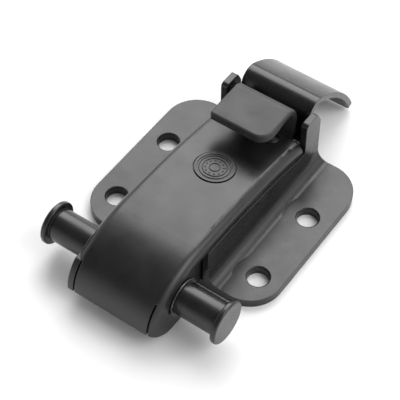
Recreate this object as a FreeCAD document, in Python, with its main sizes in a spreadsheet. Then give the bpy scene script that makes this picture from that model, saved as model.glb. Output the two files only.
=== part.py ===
"""Side lock with a cross-bolt lever and a sprung safety catch, as a parametric FreeCAD document.

Frame: X runs along the cross bolt, Y from the lever's nose (-Y) to the catch (+Y), and Z up from
the underside of the base plate. X = 0 is the middle of the lock. Lengths are millimetres.
"""
import FreeCAD, Part
import Sketcher
import math
import os

V = FreeCAD.Vector

SIZES = {
    # base plate
    "plate_width": 90.4,
    "plate_front": 32.0,
    "plate_rear": 47.3,
    "plate_thick": 4.0,
    "corner_radius": 14.5,
    "edge_round": 0.8,
    "hole_bore": 9.0,
    "hole_pitch_x": 70.0,
    "hole_pitch_y": 36.0,
    "seat_bore": 21.0,
    # side walls and ears of the base
    "channel_width": 42.0,
    "wall_thick": 2.8,
    "root_radius": 5.4,
    "rim_gap": 0.4,
    "ear_front": 36.5,
    "ear_height": 32.6,
    "ear_chamfer": 5.0,
    "ear_root_radius": 2.0,
    # lever
    "lever_width": 41.0,
    "lever_thick": 2.5,
    "lever_top": 29.2,
    "apex_back": 12.7,
    "crown_radius": 350.0,
    "brow_radius": 47.0,
    "brow_sweep": 28.0,
    "nose_radius": 18.0,
    "nose_sweep": 60.0,
    "shoulder_radius": 3.8,
    "skirt_depth": 5.3,
    "tail_length": 84.1,
    "lobe_behind": 8.3,
    "lobe_bottom": 1.6,
    "lobe_round": 5.5,
    "heel_back": 9.0,
    "heel_round": 10.0,
    "slit_width": 0.8,
    "slit_height": 13.0,
    "badge_bore": 17.4,
    "badge_depth": 0.8,
    "badge_y": 2.0,
    # cross bolt
    "bolt_y": -48.7,
    "bolt_z": 14.5,
    "rod_bore": 10.0,
    "shank_bore": 14.0,
    "flange_bore": 18.6,
    "flange_thick": 2.4,
    "bolt_span": 83.4,
    "washer_thick": 0.6,
    "bush_wall": 1.3,
    "run_gap": 0.05,
    "side_gap": 0.15,
    # bearing cheeks
    "cheek_thick": 3.2,
    "cheek_head": 17.0,
    "cheek_rear": -9.0,
    "cheek_height": 16.0,
    "cheek_gap": 0.5,
    "foot_inner": 4.0,
    "rivet_bore": 5.0,
    "rivet_head": 7.5,
    # finger pull
    "pull_width": 26.6,
    "pull_thick": 2.5,
    "stem_back": 41.6,
    "pull_height": 37.6,
    "pull_front": 17.3,
    "pull_corner": 6.0,
    "pull_sharp_corner": 1.0,
    "lip_depth": 3.8,
    "tongue_length": 22.0,
    # catch
    "catch_width": 33.6,
    "catch_thick": 2.5,
    "catch_y": 42.0,
    "catch_z": 10.0,
    "pin_bore": 6.0,
    "spring_wire": 1.4,
    "spring_turns": 5.0,
    # buffer
    "stud_bore": 8.0,
    "buffer_bore": 13.0,
    "buffer_y": -6.0,
}

doc = FreeCAD.newDocument("side_lock")
sheet = doc.addObject("Spreadsheet::Sheet", "Sizes")
for row, (alias, value) in enumerate(SIZES.items(), start=1):
    sheet.set(f"A{row}", alias)
    sheet.set(f"B{row}", str(value))
    sheet.setAlias(f"B{row}", alias)
doc.recompute()


def size(alias):
    """Value of one cell of the sheet."""
    return float(sheet.get(alias))


# ---------------------------------------------------------------- outline helpers


def walk(start, heading, steps, offset=0.0):
    """Segments of a tangent chain, moved to its left by offset.

    A step is (length,) for a line or (radius, sweep) for an arc; a positive sweep turns left.
    """
    segments = []
    place = V(start[0], start[1], 0)
    angle = math.radians(heading)
    for step in steps:
        left = V(-math.sin(angle), math.cos(angle), 0)
        if len(step) == 1:
            end = place + V(math.cos(angle), math.sin(angle), 0) * step[0]
            segments.append(("line", place + left * offset, end + left * offset))
            place = end
            continue
        radius, sweep = step
        side = 1 if sweep > 0 else -1
        centre = place + left * (side * radius)
        spoke = (centre - place) * -1
        reach = (radius - side * offset) / radius
        points = []
        for share in (0.0, 0.5, 1.0):
            turn = FreeCAD.Rotation(V(0, 0, 1), sweep * share)
            points.append(centre + turn.multVec(spoke) * reach)
        segments.append(("arc", *points))
        place = centre + FreeCAD.Rotation(V(0, 0, 1), sweep).multVec(spoke)
        angle += math.radians(sweep)
    return segments


def backwards(segments):
    """The same segments travelled the other way."""
    return [(item[0], *item[:0:-1]) for item in reversed(segments)]


def strip(start, heading, steps, thick):
    """Closed outline of a sheet of even thickness that lies to the left of a chain."""
    near = walk(start, heading, steps)
    far = backwards(walk(start, heading, steps, thick))
    return near + [("line", near[-1][-1], far[0][1])] + far + [("line", far[-1][-1], near[0][1])]


def polygon(corners, closed=False):
    """Lines through (y, z, radius) corners, with an arc of that radius at each corner."""
    places = [V(corner[0], corner[1], 0) for corner in corners]
    count = len(places)
    cuts = []
    for index, corner in enumerate(corners):
        here = places[index]
        if corner[2] == 0 or (not closed and index in (0, count - 1)):
            cuts.append((here, None, here))
            continue
        before = (places[index - 1] - here).normalize()
        after = (places[(index + 1) % count] - here).normalize()
        half = before.getAngle(after) / 2
        reach = corner[2] / math.tan(half)
        middle = here + (before + after).normalize() * (corner[2] / math.sin(half) - corner[2])
        cuts.append((here + before * reach, middle, here + after * reach))
    segments = []
    for index, (enter, middle, leave) in enumerate(cuts):
        if middle is not None:
            segments.append(("arc", enter, middle, leave))
        if closed or index < count - 1:
            segments.append(("line", leave, cuts[(index + 1) % count][0]))
    return segments


def draw(sketch, segments):
    """Put the segments into the sketch and tie each one's end to the next one's start."""
    first = sketch.GeometryCount
    for item in segments:
        if item[0] == "line":
            sketch.addGeometry(Part.LineSegment(item[1], item[2]), False)
        else:
            sketch.addGeometry(Part.Arc(item[1], item[2], item[3]), False)
    for index in range(len(segments)):
        here = first + index
        after = first + (index + 1) % len(segments)
        joint = segments[index][-1]
        here_end = nearest_end(sketch, here, joint)
        after_end = nearest_end(sketch, after, joint)
        sketch.addConstraint(Sketcher.Constraint("Coincident", here, here_end, after, after_end))


def nearest_end(sketch, index, place):
    """1 or 2: which end of the piece of geometry lies at that place."""
    start_gap = (sketch.getPoint(index, 1) - place).Length
    end_gap = (sketch.getPoint(index, 2) - place).Length
    return 1 if start_gap < end_gap else 2


# ---------------------------------------------------------------- feature helpers


def new_body(label):
    """An empty body whose Label names its file."""
    body = doc.addObject("PartDesign::Body", label)
    body.Label = label
    return body


def new_sketch(body, plane_role, offset=None):
    """A sketch on one of the body's own origin planes, moved by a placement if one is given."""
    sketch = body.newObject("Sketcher::SketchObject", "Sketch")
    plane = next(item for item in body.Origin.OriginFeatures if item.Role == plane_role)
    sketch.AttachmentSupport = [(plane, "")]
    sketch.MapMode = "FlatFace"
    if offset is not None:
        sketch.AttachmentOffset = offset
    return sketch


def outline_sketch(body, plane_role, segments, offset=None):
    """A sketch of a closed outline."""
    sketch = new_sketch(body, plane_role, offset)
    draw(sketch, segments)
    return sketch


def corner_sketch(body, plane_role, corners, offset=None):
    """A closed polygon whose corners are pairs of sheet expressions, each held by constraints."""
    sketch = new_sketch(body, plane_role, offset)
    places = []
    for across, up in corners:
        places.append(V(number(sketch, across), number(sketch, up), 0))
    count = len(places)
    draw(sketch, [("line", places[i], places[(i + 1) % count]) for i in range(count)])
    for index, (across, up) in enumerate(corners):
        for kind, text, value in (("DistanceX", across, places[index].x), ("DistanceY", up, places[index].y)):
            number_of = sketch.addConstraint(Sketcher.Constraint(kind, -1, 1, index, 1, value))
            sketch.setExpression(f"Constraints[{number_of}]", text)
    return sketch


def circle_sketch(body, plane_role, circles, offset=None):
    """Circles given as (across, up, radius) sheet expressions."""
    sketch = new_sketch(body, plane_role, offset)
    for index, (across, up, radius) in enumerate(circles):
        centre = V(number(sketch, across), number(sketch, up), 0)
        sketch.addGeometry(Part.Circle(centre, V(0, 0, 1), number(sketch, radius)), False)
        limits = (
            (Sketcher.Constraint("DistanceX", -1, 1, index, 3, centre.x), across),
            (Sketcher.Constraint("DistanceY", -1, 1, index, 3, centre.y), up),
            (Sketcher.Constraint("Radius", index, number(sketch, radius)), radius),
        )
        for limit, text in limits:
            number_of = sketch.addConstraint(limit)
            sketch.setExpression(f"Constraints[{number_of}]", text)
    return sketch


def number(item, text):
    """Value of a sheet expression."""
    return float(item.evalExpression(text))


def pad(body, sketch, length, both_sides=False, reverse=False):
    """Add material; length is a sheet expression."""
    feature = body.newObject("PartDesign::Pad", "Pad")
    feature.Profile = sketch
    feature.Reversed = reverse
    feature.Midplane = both_sides
    feature.setExpression("Length", length)
    doc.recompute()
    return feature


def pocket(body, sketch, length, both_sides=False, reverse=False):
    """Remove material and make sure that some was removed; length is a sheet expression."""
    doc.recompute()
    before = body.Shape.Volume
    feature = body.newObject("PartDesign::Pocket", "Pocket")
    feature.Profile = sketch
    feature.Reversed = reverse
    feature.Midplane = both_sides
    feature.setExpression("Length", length)
    doc.recompute()
    if not body.Shape.Volume < before - 1e-6:
        raise RuntimeError(f"a pocket of {body.Label} cuts nothing")
    return feature


def mirror(body, features):
    """Repeat features on the other side of the YZ plane."""
    feature = body.newObject("PartDesign::Mirrored", "Mirrored")
    feature.Originals = features
    plane = next(item for item in body.Origin.OriginFeatures if item.Role == "YZ_Plane")
    feature.MirrorPlane = (plane, [""])
    body.Tip = feature
    doc.recompute()
    return feature


def edges_where(body, test):
    """Names of the edges whose middle and ends satisfy the test."""
    names = []
    for index, edge in enumerate(body.Shape.Edges, start=1):
        middle = edge.valueAt((edge.FirstParameter + edge.LastParameter) / 2)
        if test(edge, middle):
            names.append(f"Edge{index}")
    return names


def blend(body, names, radius, kind="PartDesign::Fillet", field="Radius"):
    """Round (or chamfer) the named edges; radius is a sheet expression."""
    if not names:
        raise RuntimeError(f"{body.Label} has no edge to blend")
    base = body.Tip
    feature = body.newObject(kind, "Blend")
    feature.Base = (base, names)
    feature.setExpression(field, radius)
    doc.recompute()
    return feature


def turned(label, corners, placement, round_radius=None, round_test=None):
    """A body turned about its own Z axis from an outline of (radius, height) expressions."""
    body = new_body(label)
    sketch = corner_sketch(body, "XZ_Plane", corners)
    feature = body.newObject("PartDesign::Revolution", "Turn")
    feature.Profile = sketch
    feature.ReferenceAxis = (sketch, ["V_Axis"])
    feature.Angle = 360
    doc.recompute()
    if round_radius is not None:
        blend(body, edges_where(body, round_test), round_radius)
    body.Placement = placement
    return body


def along_x(x, y, z, side=1):
    """Placement that lays a turned body's axis along X, pointing away from the middle."""
    return FreeCAD.Placement(V(x, y, z), FreeCAD.Rotation(V(0, 1, 0), 90 * side))


def is_full_circle(edge, radius, height):
    """Whether the edge is a turned body's circle of that radius at that height."""
    circle = edge.Curve
    if not hasattr(circle, "Radius"):
        return False
    return abs(circle.Radius - radius) < 1e-4 and abs(circle.Center.z - height) < 1e-4


SIDES = (("left", -1), ("right", 1))

# ---------------------------------------------------------------- places that parts share

bolt = V(0, size("bolt_y"), size("bolt_z"))
apex_y = bolt.y + size("apex_back")
tail_y = bolt.y + size("tail_length")
half_lever = size("lever_width") / 2
half_channel = size("channel_width") / 2
wall_inner = half_channel - size("wall_thick")
lobe_inner = half_lever - size("lever_thick")
cheek_outer = lobe_inner - size("cheek_gap")
cheek_inner = cheek_outer - size("cheek_thick")


def crown(y, depth=0.0):
    """Height of the lever's crown at y, depth below its top face."""
    radius = size("crown_radius") - depth
    return size("lever_top") - size("crown_radius") + math.sqrt(radius**2 - (y - apex_y) ** 2)


def crown_angle(y, depth=0.0):
    """How steeply the crown falls towards the tail at y, in degrees."""
    return math.degrees(math.asin((y - apex_y) / (size("crown_radius") - depth)))


def crown_arc(y0, y1, depth=0.0):
    """The arc that follows the crown from y0 to y1."""
    middle = (y0 + y1) / 2
    return ("arc", *(V(y, crown(y, depth), 0) for y in (y0, middle, y1)))


# ---------------------------------------------------------------- base plate


def build_base_plate():
    """Flanged plate whose walls rise beside the lever and end in two ears."""
    body = new_body("base_plate")
    half = "Sizes.plate_width / 2"
    corners = [(f"-{half}", "-Sizes.plate_front"), (half, "-Sizes.plate_front"),
               (half, "Sizes.plate_rear"), (f"-{half}", "Sizes.plate_rear")]
    pad(body, corner_sketch(body, "XY_Plane", corners), "Sizes.plate_thick")
    upright = edges_where(body, lambda edge, mid: abs(edge.tangentAt(edge.FirstParameter).z) > 0.9)
    blend(body, upright, "Sizes.corner_radius")

    front, rear = -size("plate_front"), size("plate_rear")
    rim_depth = size("skirt_depth") + size("rim_gap")
    ear_front = size("ear_front")
    rim_end = ear_front - size("ear_root_radius")
    foot = size("plate_thick") / 2
    ear = polygon([
        (rim_end, crown(rim_end, rim_depth), 0),
        (ear_front, crown(ear_front, rim_depth), size("ear_root_radius") * 0.8),
        (ear_front, size("ear_height"), 2),
        (rear - size("ear_chamfer") / 2, size("ear_height"), 2),
        (rear, size("ear_height") - size("ear_chamfer"), 2),
        (rear, foot, 0),
    ])
    rim = [crown_arc(front, rim_end, rim_depth)]
    floor = [("line", V(rear, foot, 0), V(front, foot, 0)),
             ("line", V(front, foot, 0), V(front, crown(front, rim_depth), 0))]
    lift = FreeCAD.Placement(V(0, 0, wall_inner), FreeCAD.Rotation())
    wall = pad(body, outline_sketch(body, "YZ_Plane", rim + ear + floor, lift), "Sizes.wall_thick")
    mirror(body, [wall])

    def at_root(edge, mid):
        level = abs(mid.z - size("plate_thick")) < 1e-3
        return level and abs(abs(mid.x) - half_channel) < 1e-3 and edge.Length > 20

    blend(body, edges_where(body, at_root), "Sizes.root_radius")
    spots = [(sx, sy) for sx in (-1, 1) for sy in (-1, 1)]
    across, along = "Sizes.hole_pitch_x / 2", "Sizes.hole_pitch_y / 2"
    seats = [(f"{sx} * {across}", f"{sy} * {along}", "Sizes.seat_bore / 2") for sx, sy in spots]
    lift = FreeCAD.Placement(V(0, 0, size("plate_thick")), FreeCAD.Rotation())
    pocket(body, circle_sketch(body, "XY_Plane", seats, lift), "Sizes.root_radius", reverse=True)
    holes = [(x, y, "Sizes.hole_bore / 2") for x, y, _ in seats]
    holes.append(("0", "Sizes.buffer_y", "Sizes.rivet_bore / 2"))
    for _, side in SIDES:
        for along_y in cheek_rivet_places():
            holes.append((str(side * cheek_rivet_x()), str(along_y), "Sizes.rivet_bore / 2"))
    pocket(body, circle_sketch(body, "XY_Plane", holes), "Sizes.plate_thick * 3", both_sides=True)
    pin_hole = [("Sizes.catch_y", "Sizes.catch_z", "Sizes.pin_bore / 2")]
    pocket(body, circle_sketch(body, "YZ_Plane", pin_hole), str(2 * pin_reach()), both_sides=True)

    def at_hole_mouth(edge, mid):
        return is_full_circle(edge, size("hole_bore") / 2, size("plate_thick"))

    blend(body, edges_where(body, at_hole_mouth), "Sizes.edge_round")
    return body


def cheek_rivet_places():
    """The Y places of the rivets that hold a bearing cheek's foot."""
    return [6.0 - size("plate_front"), size("cheek_rear") - 6.0]


def cheek_rivet_x():
    """How far from the middle the cheek rivets stand."""
    return size("foot_inner") + size("rivet_bore") * 0.9


def pin_reach():
    """Half the catch pin's length: it ends in blind holes in the walls."""
    return wall_inner + size("wall_thick") * 0.6


# ---------------------------------------------------------------- bearing cheeks and cross bolt


def build_cheek(name, side):
    """Angle plate riveted to the floor that reaches past the base to carry the cross bolt."""
    body = new_body(f"bearing_cheek_{name}")
    head = size("cheek_head") / 2
    floor, front = size("plate_thick"), -size("plate_front")
    top = floor + size("cheek_height")
    segments = polygon([
        (bolt.y - head, bolt.z - head, head),
        (front - 4, bolt.z - head, 2),
        (front - 1, floor + 0.6, 1),
        (front + 1, floor, 0),
        (size("cheek_rear"), floor, 0),
        (size("cheek_rear"), top, 4),
        (front + 6, bolt.z + head, 8),
        (bolt.y - head, bolt.z + head, head),
    ], closed=True)
    start = cheek_outer if side < 0 else cheek_inner
    lift = FreeCAD.Placement(V(0, 0, side * start), FreeCAD.Rotation())
    pad(body, outline_sketch(body, "YZ_Plane", segments, lift), "Sizes.cheek_thick")
    inner, outer = side * size("foot_inner"), side * (cheek_outer - size("cheek_thick") / 2)
    low, high = front + 1.0, size("cheek_rear")
    corners = [(str(inner), str(low)), (str(outer), str(low)), (str(outer), str(high)),
               (str(inner), str(high))]
    lift = FreeCAD.Placement(V(0, 0, floor), FreeCAD.Rotation())
    pad(body, corner_sketch(body, "XY_Plane", corners, lift), "Sizes.cheek_thick")

    def at_bend(edge, mid):
        level = abs(mid.z - floor - size("cheek_thick")) < 1e-3
        return level and abs(abs(mid.x) - cheek_inner) < 1e-3 and edge.Length > 5

    blend(body, edges_where(body, at_bend), "Sizes.cheek_thick / 2")
    bolt_hole = [("Sizes.bolt_y", "Sizes.bolt_z", "Sizes.rod_bore / 2")]
    pocket(body, circle_sketch(body, "YZ_Plane", bolt_hole), "Sizes.channel_width", both_sides=True)
    rivets = [(str(side * cheek_rivet_x()), str(y), "Sizes.rivet_bore / 2") for y in cheek_rivet_places()]
    pocket(body, circle_sketch(body, "XY_Plane", rivets), "4 * Sizes.plate_thick", both_sides=True)


def build_cheek_rivets(name, side):
    """Two rivets, flush below the base and domed on the cheek's foot, as one body each."""
    for place, y in zip(("front", "rear"), cheek_rivet_places()):
        spot = FreeCAD.Placement(V(side * cheek_rivet_x(), y, 0), FreeCAD.Rotation())
        rivet(f"cheek_rivet_{name}_{place}", "(Sizes.plate_thick + Sizes.cheek_thick)", spot)


def rivet(label, grip, placement):
    """A rivet with a flat tail at its origin and a low head above its grip."""
    head = f"({grip} + Sizes.rivet_bore * 0.32)"
    corners = [("0", "0"), ("Sizes.rivet_bore / 2", "0"), ("Sizes.rivet_bore / 2", grip),
               ("Sizes.rivet_head / 2", grip), ("Sizes.rivet_head / 2", f"{grip} + 0.5"),
               ("Sizes.rivet_bore / 4", head), ("0", head)]
    return turned(label, corners, placement)


def build_cross_bolt():
    """Rod through the cheeks, with its spacer, washers and flanged end sleeves."""
    rod_radius = "Sizes.rod_bore / 2"
    half_span = size("bolt_span") / 2
    sleeve_start = half_lever + size("side_gap") * 2 + size("washer_thick")
    rod_end = half_span - size("flange_thick") - 2
    rod = turned("cross_rod", [("0", str(-rod_end)), (rod_radius, str(-rod_end)),
                               (rod_radius, str(rod_end)), ("0", str(rod_end))],
                 along_x(0, bolt.y, bolt.z))
    reach = cheek_inner - size("run_gap")
    ring("rod_spacer", rod_radius, f"{rod_radius} + 3", 2 * reach, along_x(-reach, bolt.y, bolt.z))
    bore_end = str(rod_end - sleeve_start + 0.5)
    length = str(half_span - sleeve_start)
    shank = "Sizes.shank_bore / 2"
    flange = "Sizes.flange_bore / 2"
    neck = f"{length} - Sizes.flange_thick"
    corners = [("0", bore_end), (rod_radius, bore_end), (rod_radius, "0"), (shank, "0"),
               (shank, neck), (flange, neck), (flange, length), ("0", length)]

    def at_flange(edge, mid):
        top = half_span - sleeve_start
        heights = (top, top - size("flange_thick"))
        return any(is_full_circle(edge, size("flange_bore") / 2, height) for height in heights)

    for name, side in SIDES:
        turned(f"end_sleeve_{name}", corners, along_x(side * sleeve_start, bolt.y, bolt.z, side),
               "Sizes.edge_round", at_flange)
        ring(f"sleeve_washer_{name}", rod_radius, f"{shank} + 1.2", size("washer_thick"),
             along_x(side * (sleeve_start - size("washer_thick")), bolt.y, bolt.z, side))
    return rod


def ring(label, inner, outer, height, placement):
    """A plain ring; inner and outer are radius expressions."""
    corners = [(inner, "0"), (outer, "0"), (outer, str(height)), (inner, str(height))]
    return turned(label, corners, placement)


# ---------------------------------------------------------------- lever


def brow(offset=0.0):
    """The lever's line from its apex forward and down to the end of the nose."""
    steps = [(size("brow_radius"), size("brow_sweep")), (size("nose_radius"), size("nose_sweep"))]
    return walk((apex_y, size("lever_top")), 180, steps, offset)


def build_lever_shell():
    """Pressed channel: crown, nose, skirts and the two lobes that hang on the cross bolt."""
    body = new_body("lever_shell")
    front_line = brow()
    nose = front_line[-1][-1]
    lobe_rear = bolt.y + size("lobe_behind")
    lobe_low = size("lobe_bottom")
    heel = nose.x + size("heel_back")
    skirt_start = crown(lobe_rear, size("skirt_depth"))
    lobe = polygon([
        (nose.x, nose.y, 0),
        (heel, lobe_low, size("heel_round")),
        (lobe_rear, lobe_low, size("lobe_round")),
        (lobe_rear, skirt_start, 0),
    ])
    skirt = [crown_arc(lobe_rear, tail_y, size("skirt_depth"))]
    tail = [("line", V(tail_y, crown(tail_y, size("skirt_depth")), 0), V(tail_y, crown(tail_y), 0))]
    roof = [crown_arc(tail_y, apex_y)]
    outline = outline_sketch(body, "YZ_Plane", front_line + lobe + skirt + tail + roof)
    pad(body, outline, "Sizes.lever_width", both_sides=True)

    def on_shoulder(edge, mid):
        if abs(abs(mid.x) - half_lever) > 1e-3:
            return False
        if mid.y > apex_y:
            return abs(mid.z - crown(mid.y)) < 1e-2
        on_arc = [abs((V(0, mid.y, mid.z) - V(0, c.x, c.y)).Length - r) < 1e-2 for c, r in brow_centres()]
        return any(on_arc) and mid.z > nose.y

    blend(body, edges_where(body, on_shoulder), "Sizes.shoulder_radius")
    thick = size("lever_thick")
    inside = brow(thick)
    inner_nose = inside[-1][-1]
    deep, ahead, behind = -20.0, nose.x - 10, tail_y + 10
    below = [V(inner_nose.x, nose.y, 0), V(ahead, nose.y, 0), V(ahead, deep, 0), V(behind, deep, 0),
             V(behind, crown(behind, thick), 0)]
    box = [("line", inner_nose, below[0])] if (inner_nose - below[0]).Length > 1e-4 else []
    box += [("line", below[i], below[i + 1]) for i in range(len(below) - 1)]
    hollow = inside + box + [crown_arc(behind, apex_y, thick)]
    pocket(body, outline_sketch(body, "YZ_Plane", hollow), "Sizes.lever_width - 2 * Sizes.lever_thick",
           both_sides=True)
    square_left_corner(body, nose)
    cut_slits(body, nose)
    pocket(body, circle_sketch(body, "YZ_Plane", [("Sizes.bolt_y", "Sizes.bolt_z", bush_radius())]),
           "Sizes.lever_width + 2", both_sides=True)
    badge = crown_placement(size("badge_y"), 0.0)
    pocket(body, circle_sketch(body, "XY_Plane", [("0", "0", "Sizes.badge_bore / 2")], badge),
           "Sizes.badge_depth")
    for x in pull_rivet_places():
        spot = crown_placement(pull_rivet_y(), 0.0)
        pocket(body, circle_sketch(body, "XY_Plane", [(str(x), "0", "Sizes.rivet_bore / 2")], spot),
               "Sizes.lever_thick * 2", both_sides=True)
    return body


def brow_centres():
    """Centres and radii of the two arcs of the brow, in the YZ plane."""
    first = V(apex_y, size("lever_top") - size("brow_radius"), 0)
    joint = brow()[0][-1]
    second = joint + (first - joint).normalize() * size("nose_radius")
    return ((first, size("brow_radius")), (second, size("nose_radius")))


def square_left_corner(body, nose):
    """The left lobe keeps its square front corner below the bend-relief slit."""
    centre, radius = brow_centres()[1]
    top = nose.y + size("slit_height")
    high = math.asin((top - centre.y) / radius)
    low = math.asin((nose.y - centre.y) / radius)
    arc = [V(centre.x - radius * math.cos(a), centre.y + radius * math.sin(a), 0)
           for a in (high, (high + low) / 2, low)]
    inside = nose.x + size("heel_back")
    segments = [("arc", *arc), ("line", arc[2], V(inside, nose.y, 0)),
                ("line", V(inside, nose.y, 0), V(inside, top, 0)), ("line", V(inside, top, 0), arc[0])]
    lift = FreeCAD.Placement(V(0, 0, -half_lever), FreeCAD.Rotation())
    pad(body, outline_sketch(body, "YZ_Plane", segments, lift), "Sizes.lever_thick")


def cut_slits(body, nose):
    """Bend-relief slits between the nose and the lobes."""
    outer = lobe_inner
    inner = outer - size("slit_width")
    top = nose.y + size("slit_height")
    deep = -size("slit_height")
    for _, side in SIDES:
        corners = [(str(side * inner), str(deep)), (str(side * outer), str(deep)),
                   (str(side * outer), str(top)), (str(side * inner), str(top))]
        lift = FreeCAD.Placement(V(0, 0, -nose.x), FreeCAD.Rotation())
        pocket(body, corner_sketch(body, "XZ_Plane", corners, lift), "2 * (Sizes.lever_thick + 7)",
               both_sides=True)


def bush_radius():
    """Outer radius of the lever's bushes, as a sheet expression."""
    return "Sizes.rod_bore / 2 + Sizes.run_gap + Sizes.bush_wall"


def crown_placement(y, depth):
    """Placement on the crown at y, with Z along the sheet's normal."""
    turn = FreeCAD.Rotation(V(1, 0, 0), -crown_angle(y))
    normal = turn.multVec(V(0, 0, 1))
    return FreeCAD.Placement(V(0, y, crown(y)) - normal * depth, turn)


def pull_rivet_y():
    """Where along Y the rivets of the finger pull stand."""
    return tail_y - size("rivet_head") / 2 - 0.4


def pull_rivet_places():
    """The X places of the finger pull's rivets."""
    return [side * size("pull_width") * 0.28 for _, side in SIDES]


def build_lever_trim():
    """Bushes, nose gusset and badge disc that ride with the lever."""
    for name, side in SIDES:
        start = side * (lobe_inner - size("side_gap"))
        length = size("lever_thick") + 2 * size("side_gap")
        ring(f"lever_bush_{name}", "Sizes.rod_bore / 2 + Sizes.run_gap", bush_radius(), length,
             along_x(start, bolt.y, bolt.z, side))
    body = new_body("nose_gusset")
    ahead = bolt.y - size("cheek_head") / 2 - 2.1
    nose_low = brow()[-1][-1].y
    corners = [(str(ahead - size("lever_thick")), str(nose_low)), (str(ahead), str(nose_low)),
               (str(ahead), str(nose_low + 7)), (str(ahead - size("lever_thick")), str(nose_low + 7))]
    pad(body, corner_sketch(body, "YZ_Plane", corners), "Sizes.lever_width - 2 * Sizes.lever_thick",
        both_sides=True)
    disc = "Sizes.badge_bore / 2 - 0.4"
    corners = [("0", "0"), (disc, "0"), (disc, "Sizes.badge_depth + 0.3"),
               (f"{disc} - 1", "Sizes.badge_depth + 0.3"), (f"{disc} - 1", "Sizes.badge_depth"),
               ("0", "Sizes.badge_depth")]
    turned("badge_disc", corners, crown_placement(size("badge_y"), size("badge_depth")))


# ---------------------------------------------------------------- finger pull


def build_finger_pull():
    """Curled tab: tongue under the crown, upright stem, curl and a rimmed head."""
    body = new_body("finger_pull")
    thick = size("pull_thick")
    bend = 2 * thick
    depth = size("lever_thick") + thick
    radius = size("crown_radius") - depth
    bend_y = (size("stem_back") - bend + bend * apex_y / radius) / (1 + bend / radius)
    tongue_y = bend_y - size("tongue_length")
    fall = crown_angle(bend_y, depth)
    start_fall = crown_angle(tongue_y, depth)
    slant, slant_radius, knee_radius = 35.0, 12.0, 5.5
    bend_end = crown(bend_y, depth) + bend * math.cos(math.radians(fall))
    rise_slant = slant_radius * math.sin(math.radians(slant))
    rise_knee = knee_radius * (1 - math.sin(math.radians(slant)))
    stem = size("pull_height") - rise_slant - rise_knee - bend_end
    run = slant_radius * (1 - math.cos(math.radians(slant))) + knee_radius * math.cos(math.radians(slant))
    head = size("stem_back") - run - size("pull_front")
    steps = [(radius, start_fall - fall), (bend, 90 + fall), (stem,), (slant_radius, slant),
             (knee_radius, 90 - slant), (head,)]
    start = (tongue_y, crown(tongue_y, depth))
    pad(body, outline_sketch(body, "YZ_Plane", strip(start, -start_fall, steps, thick)),
        "Sizes.pull_width", both_sides=True)

    front = size("pull_front")

    def head_corner_at(side):
        def test(edge, mid):
            upright = abs(edge.tangentAt(edge.FirstParameter).z) > 0.9
            return upright and abs(mid.y - front) < 1e-3 and mid.x * side > 0
        return test

    blend(body, edges_where(body, head_corner_at(1)), "Sizes.pull_corner")
    blend(body, edges_where(body, head_corner_at(-1)), "Sizes.pull_sharp_corner")
    half = size("pull_width") / 2
    back = front + 15.0
    wall = 1.8
    corner = size("pull_corner")
    sharp = size("pull_sharp_corner")
    outer = polygon([(-half, back, 0), (-half, front, sharp), (half, front, corner), (half, back, 0)])
    inner = polygon([(half - wall, back, 0), (half - wall, front + wall, corner - wall),
                     (-half + wall, front + wall, sharp), (-half + wall, back, 0)])
    ends = [("line", V(half, back, 0), V(half - wall, back, 0)),
            ("line", V(-half + wall, back, 0), V(-half, back, 0))]
    top = size("pull_height")
    lift = FreeCAD.Placement(V(0, 0, top - thick / 2), FreeCAD.Rotation())
    rim = outline_sketch(body, "XY_Plane", outer + ends[:1] + inner + ends[1:], lift)
    pad(body, rim, "Sizes.lip_depth - Sizes.pull_thick / 2", reverse=True)
    low = top - size("lip_depth")
    wedge = [(str(front + corner), str(low - 0.5)), (str(back + 1), str(low - 0.5)),
             (str(back + 1), str(top - thick)), (str(back), str(top - thick))]
    pocket(body, corner_sketch(body, "YZ_Plane", wedge), "Sizes.pull_width + 2", both_sides=True)
    tooth_low, tooth_high = tooth_levels()
    window = tooth_half_width() + 1.2
    corners = [(str(-window), str(tooth_low - 1)), (str(window), str(tooth_low - 1)),
               (str(window), str(tooth_high + 1)), (str(-window), str(tooth_high + 1))]
    lift = FreeCAD.Placement(V(0, 0, -size("stem_back")), FreeCAD.Rotation())
    pocket(body, corner_sketch(body, "XZ_Plane", corners, lift), "Sizes.pull_thick * 4", both_sides=True)
    for x in pull_rivet_places():
        spot = crown_placement(pull_rivet_y(), 0.0)
        pocket(body, circle_sketch(body, "XY_Plane", [(str(x), "0", "Sizes.rivet_bore / 2")], spot),
               "3 * (Sizes.lever_thick + Sizes.pull_thick)", both_sides=True)

    def on_top_rim(edge, mid):
        ahead = mid.y < size("stem_back") - run + 0.5
        return ahead and abs(mid.z - top) < 1e-3 and abs(edge.tangentAt(edge.FirstParameter).z) < 0.1 \
            and mid.y < front + head - 0.01

    blend(body, edges_where(body, on_top_rim), "Sizes.edge_round")
    for (name, _), x in zip(SIDES, pull_rivet_places()):
        spot = crown_placement(pull_rivet_y(), depth)
        spot.Base = spot.Base + V(x, 0, 0)
        rivet(f"pull_rivet_{name}", "(Sizes.lever_thick + Sizes.pull_thick)", spot)


# ---------------------------------------------------------------- catch


def tooth_levels():
    """Lowest and highest Z of the catch's tooth."""
    middle = size("ear_height") - 6.2
    return middle - 1.4, middle + 1.4


def tooth_half_width():
    """Half the width of the catch's tooth."""
    return size("catch_width") * 0.18


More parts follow.
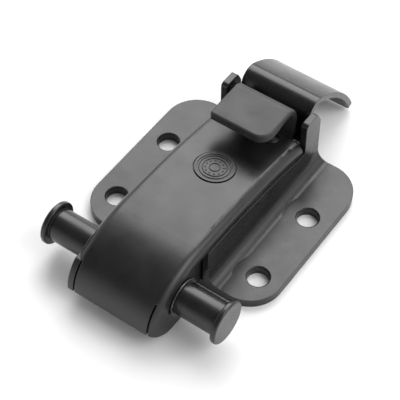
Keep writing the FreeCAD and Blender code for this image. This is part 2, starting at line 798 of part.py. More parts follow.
def build_catch_plate():
    """Rolled eyes round the pin, upright wall, crest and the long curved thumb plate."""
    body = new_body("catch_plate")
    thick = size("catch_thick")
    eye = size("pin_bore") / 2 + size("run_gap") + thick
    rise = 16.6
    crest, sweep_crest = 3.8, 115.0
    plate, sweep_plate = 54.9, 43.0
    opening = 68.0
    start_angle = math.radians(opening)
    start = (size("catch_y") + eye * math.cos(start_angle), size("catch_z") + eye * math.sin(start_angle))
    steps = [(eye, 360 - opening), (rise,), (crest, -sweep_crest), (plate, -sweep_plate)]
    pad(body, outline_sketch(body, "YZ_Plane", strip(start, opening + 90, steps, thick)),
        "Sizes.catch_width", both_sides=True)
    half_gap = size("spring_wire") * (size("spring_turns") + 2) * 0.85
    low = size("catch_z") - eye - 1
    high = size("catch_z") + eye + 1.6
    corners = [(str(-half_gap), str(low)), (str(half_gap), str(low)), (str(half_gap), str(high)),
               (str(-half_gap), str(high))]
    lift = FreeCAD.Placement(V(0, 0, -size("catch_y")), FreeCAD.Rotation())
    pocket(body, corner_sketch(body, "XZ_Plane", corners, lift), "4 * (Sizes.pin_bore + Sizes.catch_thick)",
           both_sides=True)
    tooth_low, tooth_high = tooth_levels()
    wall_y = size("catch_y") + eye - thick
    tip_y = size("stem_back") + 0.3
    corners = [(str(tip_y), str(tooth_low)), (str(wall_y + thick / 2), str(tooth_low)),
               (str(wall_y + thick / 2), str(tooth_high)), (str(tip_y), str(tooth_high - 0.8))]
    pad(body, corner_sketch(body, "YZ_Plane", corners), str(2 * tooth_half_width()), both_sides=True)
    tip = max(vertex.Point.y for vertex in body.Shape.Vertexes)

    def at_tip_corner(edge, mid):
        across = abs(abs(mid.x) - size("catch_width") / 2) < 1e-3
        return across and mid.y > tip - thick - 0.2 and edge.Length < thick * 1.2

    blend(body, edges_where(body, at_tip_corner), "Sizes.catch_thick")
    return body


def build_catch_trim():
    """Pivot pin, side washers and the torsion spring."""
    centre = (size("catch_y"), size("catch_z"))
    pin_radius = "Sizes.pin_bore / 2"
    length = str(2 * pin_reach())
    turned("catch_pin", [("0", "0"), (pin_radius, "0"), (pin_radius, length), ("0", length)],
           along_x(-pin_reach(), *centre))
    free = wall_inner - size("catch_width") / 2
    for name, side in SIDES:
        start = size("catch_width") / 2 + free * 0.3
        ring(f"catch_washer_{name}", pin_radius, "Sizes.pin_bore / 2 + 2.2", free * 0.6,
             along_x(side * start, *centre, side))
    build_catch_spring(V(0, *centre))


def build_catch_spring(centre):
    """Torsion spring round the pin; one leg on the floor, one behind the catch's wall."""
    wire = size("spring_wire") / 2
    coil = size("pin_bore") / 2 + 0.75 + wire
    pitch = size("spring_wire") * 1.15
    dip = 10.0
    winding = 360 * size("spring_turns") + 180 - dip
    height = pitch * winding / 360
    lay_flat = FreeCAD.Rotation(V(0, 0, -1), V(0, -1, 0), V(-1, 0, 0), "ZXY")
    lay = FreeCAD.Placement(centre + V(height / 2, 0, 0), FreeCAD.Rotation(V(1, 0, 0), -dip) * lay_flat)

    def on_coil(degrees):
        angle = math.radians(degrees)
        place = V(coil * math.cos(angle), coil * math.sin(angle), pitch * degrees / 360)
        heading = V(-coil * math.sin(angle), coil * math.cos(angle), pitch / (2 * math.pi)).normalize()
        return lay.multVec(place), lay.Rotation.multVec(heading)

    begin, begin_heading = on_coil(0)
    finish, finish_heading = on_coil(winding)
    drop = begin.z - (size("plate_thick") + wire + 0.03)
    floor_end = begin - begin_heading * (drop / math.sin(math.radians(dip)))
    wall_back = size("catch_y") + size("pin_bore") / 2 + size("run_gap") + size("catch_thick")
    bend = 2.0
    up = V(0, 0, 1)
    knee = finish + finish_heading * (wall_back + wire + 0.2 - bend - finish.y)
    centre_of_bend = knee + up * bend
    half_way = centre_of_bend + (finish_heading - up) * (bend * math.sqrt(0.5))
    rise = centre_of_bend + finish_heading * bend
    count = int(winding / 20) + 1
    points = [floor_end + (begin - floor_end) * (step / 4) for step in range(4)]
    points += [on_coil(winding * step / count)[0] for step in range(count + 1)]
    points += [finish + (knee - finish) * (step / 3) for step in (1, 2)]
    points += [knee, half_way, rise]
    points += [rise + up * (7 * step / 3) for step in (1, 2, 3)]
    line = Part.BSplineCurve()
    line.interpolate(points)
    path = [line.toShape()]
    section = Part.Wire(Part.Circle(floor_end, begin_heading, wire).toShape())
    spring = doc.addObject("Part::Feature", "catch_spring")
    spring.Label = "catch_spring"
    spring.Shape = Part.Wire(path).makePipeShell([section], True, False)
    spring.Placement = FreeCAD.Placement()


# ---------------------------------------------------------------- buffer


def build_buffer():
    """Riveted stud on the floor and the rubber buffer under the lever."""
    floor = "Sizes.plate_thick"
    stud_top = "Sizes.plate_thick + 10"
    spot = FreeCAD.Placement(V(0, size("buffer_y"), 0), FreeCAD.Rotation())
    turned("buffer_stud", [("0", "0"), ("Sizes.rivet_bore / 2", "0"), ("Sizes.rivet_bore / 2", floor),
                           ("Sizes.stud_bore / 2", floor), ("Sizes.stud_bore / 2", stud_top),
                           ("0", stud_top)], spot)
    reach = size("buffer_bore") / 2
    top = str(crown(size("buffer_y") + reach, size("lever_thick")) - 0.3)
    low = "Sizes.plate_thick + 5"
    turned("rubber_buffer", [("0", stud_top), ("Sizes.stud_bore / 2", stud_top),
                             ("Sizes.stud_bore / 2", low), ("Sizes.buffer_bore / 2", low),
                             ("Sizes.buffer_bore / 2", top), ("0", top)], spot)


# ---------------------------------------------------------------- build, check and write


def finished():
    """The objects that are whole pieces: bodies and the features that stand alone."""
    kinds = ("PartDesign::Body", "Part::Feature")
    return [item for item in doc.Objects if item.TypeId in kinds]


def check_document():
    """Stop if any object failed or any piece isn't a valid solid."""
    for item in doc.Objects:
        if "Invalid" in item.State or "Error" in item.State:
            raise RuntimeError(f"{item.Label} failed: {item.State}")
    for item in finished():
        shape = item.Shape
        if shape.isNull() or not shape.isValid() or len(shape.Solids) != 1:
            raise RuntimeError(f"{item.Label} is not one valid solid")


build_base_plate()
for side_name, side_sign in SIDES:
    build_cheek(side_name, side_sign)
    build_cheek_rivets(side_name, side_sign)
build_cross_bolt()
build_lever_shell()
build_lever_trim()
build_finger_pull()
build_catch_plate()
build_catch_trim()
build_buffer()
doc.recompute()
check_document()

os.makedirs("parts", exist_ok=True)
for piece in finished():
    piece.Shape.exportStep(f"parts/{piece.Label}.step")
    print(f"{piece.Label}: {piece.Shape.Volume:.1f} mm3")
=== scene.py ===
import logging
import math
from dataclasses import dataclass, field
from enum import Enum
from typing import Iterable, Sequence

import bmesh
import bpy
from mathutils import Matrix, Vector


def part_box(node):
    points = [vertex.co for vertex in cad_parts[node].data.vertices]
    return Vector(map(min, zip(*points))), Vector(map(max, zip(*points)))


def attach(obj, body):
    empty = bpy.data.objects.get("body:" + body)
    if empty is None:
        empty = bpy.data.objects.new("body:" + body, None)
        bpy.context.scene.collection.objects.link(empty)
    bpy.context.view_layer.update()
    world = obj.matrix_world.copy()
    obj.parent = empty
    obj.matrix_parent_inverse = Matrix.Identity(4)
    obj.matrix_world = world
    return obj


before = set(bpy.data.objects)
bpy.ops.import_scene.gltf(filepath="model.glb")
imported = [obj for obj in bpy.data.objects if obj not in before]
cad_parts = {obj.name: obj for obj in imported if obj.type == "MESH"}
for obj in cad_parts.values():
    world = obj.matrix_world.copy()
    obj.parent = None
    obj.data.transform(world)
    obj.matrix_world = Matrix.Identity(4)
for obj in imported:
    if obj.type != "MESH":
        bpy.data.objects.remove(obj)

# Looks of a surface-mounted lever latch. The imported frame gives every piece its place. This file
# dresses each part of the frame in a finish, adds the rings of the badge and the serrations of the
# pull's lip, and sets up a pale studio round it.

log = logging.getLogger("lever_latch")

Colour = tuple[float, float, float]
# Points nearer than this, in metres, become one.
MERGE = 1e-7
# How far a rounded normal agrees with the true one where an edge starts to be felt, and on it.
EDGE_FELT, EDGE_FULL = 0.97, 0.80
EDGE_SAMPLES = 6
DUST: Colour = (0.045, 0.045, 0.046)


class Body(Enum):
    """The moving bodies of the frame."""

    BASE = "base"
    LEVER = "lever"
    CATCH = "catch"


class Slot(Enum):
    """Names of the record's material slots for the coat and the badge."""

    COAT = "black_coat"
    BADGE = "badge"


class Lay(Enum):
    """Which way the fine tool marks of a turned or drawn part run."""

    NONE = (1.0, 1.0, 1.0)
    ALONG_Z = (1.0, 1.0, 0.06)


# ---------------------------------------------------------------- finishes


class Recipe:
    """Wires the nodes of one material round its Principled shader."""

    def __init__(self, name: str) -> None:
        """Start an empty recipe.

        Args:
            name: What the material is called.
        """
        self.material = bpy.data.materials.new(name)
        self.material.use_nodes = True
        self.tree = self.material.node_tree
        self.shader = self.tree.nodes["Principled BSDF"]
        self.place = self.node("TexCoord").outputs["Object"]

    def node(self, kind: str, **settings: object) -> bpy.types.Node:
        """Add a node.

        Args:
            kind: The node's type without its ShaderNode prefix.
            settings: Attributes to set on it.

        Returns:
            The new node.
        """
        made = self.tree.nodes.new("ShaderNode" + kind)
        for key, value in settings.items():
            setattr(made, key, value)
        return made

    def join(self, source: bpy.types.NodeSocket, target: bpy.types.NodeSocket) -> None:
        """Link one socket to another."""
        self.tree.links.new(source, target)

    def stretched(self, lay: Lay) -> bpy.types.NodeSocket:
        """Object coordinates drawn out along the lay.

        Args:
            lay: Which way the marks run.

        Returns:
            The mapped vector.
        """
        mapping = self.node("Mapping")
        mapping.inputs["Scale"].default_value = lay.value
        self.join(self.place, mapping.inputs["Vector"])
        return mapping.outputs["Vector"]

    def noise(self, size: float, detail: float = 3.0, rough: float = 0.55,
              place: bpy.types.NodeSocket | None = None) -> bpy.types.NodeSocket:
        """Cloudy noise.

        Args:
            size: Rough size of a cloud in metres.
            detail: Octaves of smaller noise in it.
            rough: How strong the smaller octaves are.
            place: Coordinates to read, the object's own where there are none.

        Returns:
            The noise from 0 to 1.
        """
        made = self.node("TexNoise")
        made.inputs["Scale"].default_value = 1.0 / size
        made.inputs["Detail"].default_value = detail
        made.inputs["Roughness"].default_value = rough
        self.join(place or self.place, made.inputs["Vector"])
        return made.outputs["Fac"]

    def cells(self, size: float) -> bpy.types.NodeSocket:
        """Scattered cells, such as specks of dust lie in.

        Args:
            size: Rough spacing of the cells in metres.

        Returns:
            The distance from the middle of the nearest cell.
        """
        made = self.node("TexVoronoi")
        made.inputs["Scale"].default_value = 1.0 / size
        self.join(self.place, made.inputs["Vector"])
        return made.outputs["Distance"]

    def remap(self, source: bpy.types.NodeSocket, low: float, high: float,
              to_low: float, to_high: float) -> bpy.types.NodeSocket:
        """Stretch a value from one range to another, held at its ends.

        Args:
            source: The value.
            low: Start of the range read.
            high: End of the range read.
            to_low: What the start becomes.
            to_high: What the end becomes.

        Returns:
            The stretched value.
        """
        made = self.node("MapRange", clamp=True)
        ends = {"From Min": low, "From Max": high, "To Min": to_low, "To Max": to_high}
        for name, value in ends.items():
            made.inputs[name].default_value = value
        self.join(source, made.inputs["Value"])
        return made.outputs["Result"]

    def combine(self, operation: str, first: bpy.types.NodeSocket,
                second: bpy.types.NodeSocket | float) -> bpy.types.NodeSocket:
        """Work one value with another.

        Args:
            operation: The Math node's operation.
            first: The first value.
            second: The second value or a number.

        Returns:
            The result.
        """
        made = self.node("Math", operation=operation)
        self.join(first, made.inputs[0])
        if isinstance(second, float):
            made.inputs[1].default_value = second
        else:
            self.join(second, made.inputs[1])
        return made.outputs["Value"]

    def tint(self, share: bpy.types.NodeSocket, first: Colour | bpy.types.NodeSocket,
             second: Colour) -> bpy.types.NodeSocket:
        """Mix two colours.

        Args:
            share: How much of the second there is.
            first: The first colour or a socket that gives it.
            second: The second colour.

        Returns:
            The mixed colour.
        """
        made = self.node("Mix", data_type="RGBA")
        self.join(share, made.inputs[0])
        if isinstance(first, tuple):
            made.inputs[6].default_value = (*first, 1.0)
        else:
            self.join(first, made.inputs[6])
        made.inputs[7].default_value = (*second, 1.0)
        return made.outputs[2]

    def eased(self, radius: float) -> bpy.types.NodeSocket:
        """Normals that turn round each edge as if it were rounded.

        Args:
            radius: The radius of the rounding in metres.

        Returns:
            The normals.
        """
        made = self.node("Bevel", samples=EDGE_SAMPLES)
        made.inputs["Radius"].default_value = radius
        return made.outputs["Normal"]

    def edges(self, radius: float) -> bpy.types.NodeSocket:
        """How near a point is to an edge.

        Args:
            radius: How far from the edge it is felt, in metres.

        Returns:
            0 away from an edge and 1 on it.
        """
        facing = self.node("VectorMath", operation="DOT_PRODUCT")
        self.join(self.eased(radius), facing.inputs[0])
        self.join(self.node("NewGeometry").outputs["Normal"], facing.inputs[1])
        return self.remap(facing.outputs["Value"], EDGE_FELT, EDGE_FULL, 0.0, 1.0)

    def relief(self, height: bpy.types.NodeSocket, depth: float,
               under: bpy.types.NodeSocket | None = None) -> bpy.types.NodeSocket:
        """Bump the surface.

        Args:
            height: The height from 0 to 1.
            depth: How high 1 is in metres.
            under: Normals that the bump starts from.

        Returns:
            The bumped normals.
        """
        made = self.node("Bump")
        made.inputs["Strength"].default_value = 1.0
        made.inputs["Distance"].default_value = depth
        self.join(height, made.inputs["Height"])
        if under is not None:
            self.join(under, made.inputs["Normal"])
        return made.outputs["Normal"]

    def serve(self, colour: bpy.types.NodeSocket, rough: bpy.types.NodeSocket,
              normal: bpy.types.NodeSocket, metal: float) -> bpy.types.Material:
        """Feed the shader and hand the material over.

        Args:
            colour: Colour all over.
            rough: Roughness all over.
            normal: The final normals.
            metal: 1 for bare metal and 0 for a coat or rubber.

        Returns:
            The finished material.
        """
        self.join(colour, self.shader.inputs["Base Color"])
        self.join(rough, self.shader.inputs["Roughness"])
        self.join(normal, self.shader.inputs["Normal"])
        self.shader.inputs["Metallic"].default_value = metal
        return self.material


@dataclass(frozen=True)
class BlackCoat:
    """A baked black dip coat over pressed steel, lighter along its edges: partly coat worn thin,
    partly a painted highlight.
    """

    name: str
    deep: Colour = (0.0075, 0.0076, 0.0085)
    pale: Colour = (0.0125, 0.0126, 0.0138)
    edge_wear_and_highlight: Colour = (0.060, 0.060, 0.064)
    smooth: float = 0.24
    dull: float = 0.36
    ripple: float = 0.00012
    peel: float = 0.000010
    edge: float = 0.00045
    dust: float = 0.5
    cloud_size: float = 0.018
    wear_highlight_size: float = 0.0022
    rub_rough: float = 0.10
    speck_spacing: float = 0.0026
    speck_patch: float = 0.006
    dull_patch: float = 0.009
    ripple_size: float = 0.020
    peel_size: float = 0.0011

    def material(self) -> bpy.types.Material:
        """Make the coat's material.

        Returns:
            The material.
        """
        mix = Recipe(self.name)
        clouds = mix.noise(self.cloud_size, 4.0)
        colour = mix.tint(mix.remap(clouds, 0.35, 0.65, 0.0, 1.0), self.deep, self.pale)
        # Edges lightened in blotchy patches: partly coat rubbed thin, partly a painted highlight
        # where rounded edges and the shoulder catch the light.
        patches = mix.remap(mix.noise(self.wear_highlight_size, 4.0), 0.40, 0.66, 0.15, 1.0)
        edge_wear_highlight_mask = mix.combine("MULTIPLY", mix.edges(self.edge), patches)
        colour = mix.tint(edge_wear_highlight_mask, colour, self.edge_wear_and_highlight)
        grains = mix.remap(mix.cells(self.speck_spacing), 0.10, 0.055, 0.0, 1.0)
        settled = mix.remap(mix.noise(self.speck_patch, 2.0), 0.56, 0.64, 0.0, self.dust)
        colour = mix.tint(mix.combine("MULTIPLY", grains, settled), colour, DUST)
        rough = mix.remap(mix.noise(self.dull_patch, 5.0, 0.6), 0.30, 0.70, self.smooth, self.dull)
        rough = mix.combine("ADD", rough, mix.combine("MULTIPLY", edge_wear_highlight_mask, self.rub_rough))
        wide = mix.relief(mix.noise(self.ripple_size, 2.0), self.ripple, mix.eased(self.edge))
        fine = mix.relief(mix.noise(self.peel_size, 3.0), self.peel, wide)
        return mix.serve(colour, rough, fine, 0.0)


@dataclass(frozen=True)
class BareSteel:
    """Turned or drawn steel, with fine tool marks along its lay."""

    name: str
    deep: Colour
    pale: Colour
    smooth: float
    dull: float
    lay: Lay = Lay.NONE
    marks: float = 0.000006
    edge: float = 0.0003
    mark_size: float = 0.0007
    cloud_size: float = 0.006
    wear_size: float = 0.0015
    wear_gain: float = 2.2

    def material(self) -> bpy.types.Material:
        """Make the steel's material.

        Returns:
            The material.
        """
        mix = Recipe(self.name)
        streaks = mix.noise(self.mark_size, 3.0, 0.6, mix.stretched(self.lay))
        clouds = mix.noise(self.cloud_size, 4.0)
        shades = mix.remap(mix.combine("MULTIPLY", streaks, clouds), 0.15, 0.40, 0.0, 1.0)
        colour = mix.tint(shades, self.deep, self.pale)
        red, green, blue = (min(1.0, value * self.wear_gain) for value in self.pale)
        patches = mix.remap(mix.noise(self.wear_size, 3.0), 0.35, 0.65, 0.2, 1.0)
        worn = mix.combine("MULTIPLY", mix.edges(self.edge), patches)
        colour = mix.tint(worn, colour, (red, green, blue))
        rough = mix.remap(streaks, 0.30, 0.70, self.smooth, self.dull)
        return mix.serve(colour, rough, mix.relief(streaks, self.marks, mix.eased(self.edge)), 1.0)


@dataclass(frozen=True)
class Rubber:
    """Matt moulded rubber with fine pits and a chalky bloom."""

    name: str
    deep: Colour = (0.012, 0.012, 0.012)
    pale: Colour = (0.030, 0.030, 0.029)
    bloom_size: float = 0.004
    pit_size: float = 0.0005
    pit_depth: float = 0.00002
    edge: float = 0.0005

    def material(self) -> bpy.types.Material:
        """Make the rubber's material.

        Returns:
            The material.
        """
        mix = Recipe(self.name)
        bloom = mix.noise(self.bloom_size, 5.0, 0.65)
        colour = mix.tint(mix.remap(bloom, 0.4, 0.7, 0.0, 1.0), self.deep, self.pale)
        rough = mix.remap(bloom, 0.3, 0.7, 0.62, 0.85)
        pits = mix.relief(mix.noise(self.pit_size, 2.0), self.pit_depth, mix.eased(self.edge))
        return mix.serve(colour, rough, pits, 0.0)


@dataclass(frozen=True)
class Finishes:
    """Every finish of the latch."""

    plate: BlackCoat = BlackCoat("coat_base_plate")
    lever: BlackCoat = BlackCoat("coat_lever", ripple=0.00016, smooth=0.26, dull=0.38)
    # The pull's coat is lighter and matter than the rest: partly a greyer coat, partly painted
    # light standing in for the brighter reflection its upturned curl catches.
    pull: BlackCoat = BlackCoat("coat_pull", deep=(0.016, 0.016, 0.017), pale=(0.026, 0.026, 0.028),
                                smooth=0.42, dull=0.56, ripple=0.00006)
    catch: BlackCoat = BlackCoat("coat_catch", smooth=0.20, dull=0.32)
    sleeve: BlackCoat = BlackCoat("coat_sleeve", ripple=0.00004, smooth=0.20, dull=0.32)
    badge: BlackCoat = BlackCoat("coat_badge", ripple=0.00003, smooth=0.30, dull=0.42, edge=0.0002)
    rivet: BareSteel = BareSteel("steel_rivet", (0.030, 0.030, 0.031), (0.075, 0.075, 0.078),
                                 0.30, 0.50)
    rod: BareSteel = BareSteel("steel_rod", (0.040, 0.040, 0.042), (0.095, 0.095, 0.098),
                               0.22, 0.38, Lay.ALONG_Z)
    washer: BareSteel = BareSteel("steel_washer", (0.085, 0.085, 0.088), (0.16, 0.16, 0.165),
                                  0.25, 0.45)
    spring: BareSteel = BareSteel("steel_spring", (0.20, 0.20, 0.205), (0.36, 0.36, 0.37),
                                  0.18, 0.32)
    bush: BareSteel = BareSteel("bronze_bush", (0.20, 0.115, 0.045), (0.42, 0.26, 0.115),
                                0.30, 0.50)
    rubber: Rubber = Rubber("rubber_buffer_finish")


# ---------------------------------------------------------------- pieces


def dress(node: str, finish: bpy.types.Material) -> None:
    """Give a node of the frame its finish.

    Args:
        node: The node's name.
        finish: The material.
    """
    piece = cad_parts[node]
    if not piece.material_slots:
        piece.data.materials.append(finish)
    for held in piece.material_slots:
        held.material = finish
    log.info("dressed %s in %s", node, finish.name)


def finish_piece(name: str, mesh: bmesh.types.BMesh, body: Body,
                 finish: bpy.types.Material) -> bpy.types.Object:
    """Turn a bmesh into a piece of the latch that rides on a body.

    Args:
        name: The piece's name.
        mesh: Its shape, in place. It is freed.
        body: The body that it rides on.
        finish: The material.

    Returns:
        The new piece.
    """
    bmesh.ops.remove_doubles(mesh, verts=mesh.verts, dist=MERGE)
    bmesh.ops.recalc_face_normals(mesh, faces=mesh.faces)
    data = bpy.data.meshes.new(name)
    mesh.to_mesh(data)
    mesh.free()
    data.materials.append(finish)
    piece = bpy.data.objects.new(name, data)
    bpy.context.scene.collection.objects.link(piece)
    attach(piece, body.value)
    log.info("made %s: %d faces on %s", name, len(data.polygons), body.value)
    return piece


@dataclass
class BasePlate:
    """Flanged plate, the two bearing cheeks on its floor, their rivets and the buffer."""

    finishes: Finishes
    cheeks: Sequence[str] = ("bearing_cheek_left", "bearing_cheek_right")
    rivets: Sequence[str] = ("cheek_rivet_left_front", "cheek_rivet_left_rear",
                             "cheek_rivet_right_front", "cheek_rivet_right_rear", "buffer_stud")

    def build(self) -> None:
        """Dress every piece of the base."""
        coat = self.finishes.plate.material()
        dress("base_plate", coat)
        for cheek in self.cheeks:
            dress(cheek, coat)
        steel = self.finishes.rivet.material()
        for rivet in self.rivets:
            dress(rivet, steel)
        dress("rubber_buffer", self.finishes.rubber.material())


@dataclass
class CrossBolt:
    """Rod through the cheeks, its spacer, the headed end sleeves and their washers."""

    finishes: Finishes

    def build(self) -> None:
        """Dress every piece of the cross bolt."""
        rod = self.finishes.rod.material()
        for name in ("cross_rod", "rod_spacer"):
            dress(name, rod)
        sleeve = self.finishes.sleeve.material()
        washer = self.finishes.washer.material()
        for side in ("left", "right"):
            dress(f"end_sleeve_{side}", sleeve)
            dress(f"sleeve_washer_{side}", washer)
            dress(f"catch_washer_{side}", washer)
        dress("catch_pin", rod)


@dataclass
class Lever:
    """Pressed lever with its gusset, bushes and the ringed badge on its crown."""

    finishes: Finishes
    rings: Sequence[float] = (0.0066, 0.0052, 0.0024)
    ring_width: float = 0.00045
    ring_rise: float = 0.0003
    floor_radius: float = 0.0072
    facing_up: float = 0.9
    steps: int = 72
    dots: int = 12
    dot_circle: float = 0.0038
    dot_foot: float = 0.0005
    dot_top: float = 0.0003
    dot_height: float = 0.0003
    dot_lift: float = 0.0001
    dot_sides: int = 12

    def build(self) -> None:
        """Dress the lever and raise the rings of its badge."""
        coat = self.finishes.lever.material()
        for name in ("lever_shell", "nose_gusset"):
            dress(name, coat)
        bush = self.finishes.bush.material()
        for side in ("left", "right"):
            dress(f"lever_bush_{side}", bush)
        badge = self.finishes.badge.material()
        dress("badge_disc", badge)
        self.emboss(badge)

    def badge_place(self) -> Matrix:
        """Where the badge's floor lies, with Z along its normal.

        Returns:
            The placement.
        """
        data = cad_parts["badge_disc"].data
        low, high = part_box("badge_disc")
        middle = (low + high) / 2
        near = [face for face in data.polygons
                if face.normal.z > self.facing_up
                and (face.center.xy - middle.xy).length < self.floor_radius]
        normal = sum((face.normal * face.area for face in near), Vector()).normalized()
        floor = max(near, key=lambda face: face.area).center
        centre = middle - normal * (middle - floor).dot(normal)
        tilt = Vector((0, 0, 1)).rotation_difference(normal).to_matrix().to_4x4()
        return Matrix.Translation(centre) @ tilt

    def emboss(self, finish: bpy.types.Material) -> None:
        """Raised rings and a circle of plain dots on the badge.

        Args:
            finish: The badge's material.
        """
        mesh = bmesh.new()
        for radius in self.rings:
            mid = radius - self.ring_width / 2
            shoulder = self.ring_width / 4
            profile = ((radius, 0), (mid + shoulder, self.ring_rise),
                       (mid - shoulder, self.ring_rise), (radius - self.ring_width, 0))
            verts = [mesh.verts.new((across, 0, up)) for across, up in profile]
            edges = [mesh.edges.new((verts[i], verts[(i + 1) % 4])) for i in range(4)]
            bmesh.ops.spin(mesh, geom=verts + edges, cent=(0, 0, 0), axis=(0, 0, 1), dvec=(0, 0, 0),
                           angle=math.tau, steps=self.steps, use_merge=True)
        out = Matrix.Translation((self.dot_circle, 0, self.dot_lift))
        for index in range(self.dots):
            spot = Matrix.Rotation(math.tau * index / self.dots, 4, "Z") @ out
            bmesh.ops.create_cone(mesh, cap_ends=True, segments=self.dot_sides,
                                  radius1=self.dot_foot, radius2=self.dot_top,
                                  depth=self.dot_height, matrix=spot)
        bmesh.ops.transform(mesh, matrix=self.badge_place(), verts=mesh.verts)
        finish_piece("badge_rings", mesh, Body.LEVER, finish)


@dataclass
class FingerPull:
    """Curled finger pull, its rivets and the serrated front lip."""

    finishes: Finishes
    pitch: float = 0.0010
    rows: int = 2
    tooth: float = 0.00042
    tooth_sides: int = 4
    tooth_taper: float = 0.25
    rim_depth: float = 0.0038
    rim_seen: float = 0.0035
    clear_left: float = 0.0020
    clear_right: float = 0.0066
    row_foot: float = 0.0007
    row_pitch: float = 0.0011

    def build(self) -> None:
        """Dress the pull and set the serrations on its lip."""
        coat = self.finishes.pull.material()
        dress("finger_pull", coat)
        rivet = self.finishes.rivet.material()
        for side in ("left", "right"):
            dress(f"pull_rivet_{side}", rivet)
        self.serrate(coat)

    def serrate(self, finish: bpy.types.Material) -> None:
        """Rows of small points on the front of the lip.

        Args:
            finish: The pull's material.
        """
        low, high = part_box("finger_pull")
        points = [vertex.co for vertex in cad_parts["finger_pull"].data.vertices]
        front = min(point.y for point in points if point.z > high.z - self.rim_seen)
        lip_low = high.z - self.rim_depth
        first, last = low.x + self.clear_left, high.x - self.clear_right
        count = int((last - first) / self.pitch)
        mesh = bmesh.new()
        quarter = Matrix.Rotation(math.pi / 2, 4, "X")
        for row in range(self.rows):
            for column in range(count + 1):
                x = first + (last - first) * (column + 0.5 * (row % 2)) / (count + 1)
                z = lip_low + self.row_foot + row * self.row_pitch
                spot = Matrix.Translation((x, front - self.tooth / 4, z)) @ quarter
                bmesh.ops.create_cone(mesh, cap_ends=True, segments=self.tooth_sides,
                                      radius1=self.tooth, radius2=self.tooth * self.tooth_taper,
                                      depth=self.tooth / 2, matrix=spot)
        finish_piece("pull_serrations", mesh, Body.LEVER, finish)


@dataclass
class Catch:
    """Thumb catch at the rear and its torsion spring."""

    finishes: Finishes

    def build(self) -> None:
        """Dress the catch and its spring."""
        dress("catch_plate", self.finishes.catch.material())
        dress("catch_spring", self.finishes.spring.material())


@dataclass(frozen=True)
class SoftLight:
    """A square soft light: where it hangs, its side in metres and its power in watts."""

    name: str
    place: tuple[float, float, float]
    size: float
    power: float


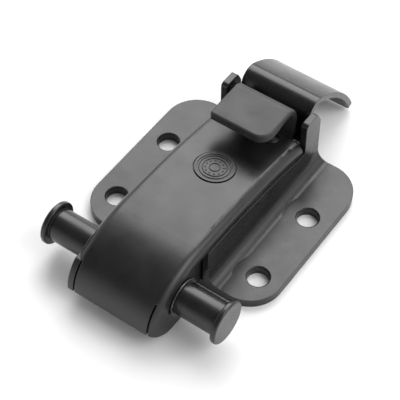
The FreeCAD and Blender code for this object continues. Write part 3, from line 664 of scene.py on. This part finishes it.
@dataclass
class Studio:
    """Pale floor, soft lights and the camera."""

    azimuth: float = math.radians(35.34)
    elevation: float = math.radians(51.66)
    aim: Vector = field(default_factory=lambda: Vector((-0.0010, -0.0067, 0.0145)))
    distance: float = 0.5563
    lens: float = 125.1
    sensor: float = 36.0
    clip_near: float = 0.01
    clip_far: float = 20.0
    floor_size: float = 3.0
    floor_deep: Colour = (0.90, 0.90, 0.90)
    floor_pale: Colour = (0.93, 0.93, 0.93)
    floor_shine: float = 0.1
    lights: Sequence[SoftLight] = (SoftLight("key", (-0.35, 0.75, 0.85), 0.9, 11.0),
                                   SoftLight("fill", (0.9, 0.25, 0.9), 0.8, 6.0))
    dim_side: tuple[float, float, float] = (-0.15, -0.55, 0.82)
    dim_from: float = 0.55
    dim_full: float = 0.95
    dim_strength: float = 0.15

    def build(self) -> None:
        """Set up the floor, the lights, the sky and the camera."""
        self.lay_floor()
        self.light_sky()
        for light in self.lights:
            self.hang(light)
        self.stand_camera()
        bpy.context.scene.view_settings.view_transform = "Standard"

    def lay_floor(self) -> None:
        """A wide pale floor under the latch."""
        mix = Recipe("pale_floor")
        colour = mix.tint(mix.noise(0.4, 2.0), self.floor_deep, self.floor_pale)
        rough = mix.remap(mix.noise(0.1, 2.0), 0.3, 0.7, 0.85, 0.95)
        mix.join(colour, mix.shader.inputs["Base Color"])
        mix.join(rough, mix.shader.inputs["Roughness"])
        mix.shader.inputs["Specular IOR Level"].default_value = self.floor_shine
        mesh = bmesh.new()
        bmesh.ops.create_grid(mesh, x_segments=2, y_segments=2, size=self.floor_size)
        data = bpy.data.meshes.new("floor")
        mesh.to_mesh(data)
        mesh.free()
        data.materials.append(mix.material)
        floor = bpy.data.objects.new("floor", data)
        bpy.context.scene.collection.objects.link(floor)

    def light_sky(self) -> None:
        """Pale surroundings, darker overhead towards the front."""
        world = bpy.data.worlds.new("tent")
        bpy.context.scene.world = world
        world.use_nodes = True
        tree = world.node_tree
        sky = tree.nodes["Background"]
        place = tree.nodes.new("ShaderNodeTexCoord")
        facing = tree.nodes.new("ShaderNodeVectorMath")
        facing.operation = "DOT_PRODUCT"
        facing.inputs[1].default_value = Vector(self.dim_side).normalized()
        ramp = tree.nodes.new("ShaderNodeMapRange")
        ramp.interpolation_type = "SMOOTHSTEP"
        ends = {"From Min": self.dim_from, "From Max": self.dim_full,
                "To Min": 1.0, "To Max": self.dim_strength}
        for name, value in ends.items():
            ramp.inputs[name].default_value = value
        tree.links.new(place.outputs["Generated"], facing.inputs[0])
        tree.links.new(facing.outputs["Value"], ramp.inputs["Value"])
        tree.links.new(ramp.outputs["Result"], sky.inputs["Strength"])
        sky.inputs["Color"].default_value = (1.0, 1.0, 1.0, 1.0)

    def hang(self, light: SoftLight) -> None:
        """Hang a soft light that faces the latch.

        Args:
            light: The light.
        """
        data = bpy.data.lights.new(light.name, "AREA")
        data.shape = "SQUARE"
        data.size = light.size
        data.energy = light.power
        lamp = bpy.data.objects.new(light.name, data)
        lamp.location = light.place
        lamp.rotation_euler = (self.aim - lamp.location).to_track_quat("-Z", "Y").to_euler()
        bpy.context.scene.collection.objects.link(lamp)

    def stand_camera(self) -> None:
        """Stand the camera off the latch and make it the scene's."""
        level = math.cos(self.elevation)
        back = Vector((math.sin(self.azimuth) * level, -math.cos(self.azimuth) * level,
                       math.sin(self.elevation)))
        data = bpy.data.cameras.new("camera")
        data.lens = self.lens
        data.sensor_width = self.sensor
        data.clip_start = self.clip_near
        data.clip_end = self.clip_far
        camera = bpy.data.objects.new("camera", data)
        camera.location = self.aim + back * self.distance
        camera.rotation_euler = (-back).to_track_quat("-Z", "Y").to_euler()
        bpy.context.scene.collection.objects.link(camera)
        bpy.context.scene.camera = camera


def main() -> None:
    """Dress the frame, add its trim and set up the studio."""
    logging.basicConfig(level=logging.INFO, format="%(name)s: %(message)s")
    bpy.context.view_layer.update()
    finishes = Finishes()
    for part in (BasePlate, CrossBolt, Lever, FingerPull, Catch):
        part(finishes).build()
    Studio().build()


if __name__ == "__main__":
    main()
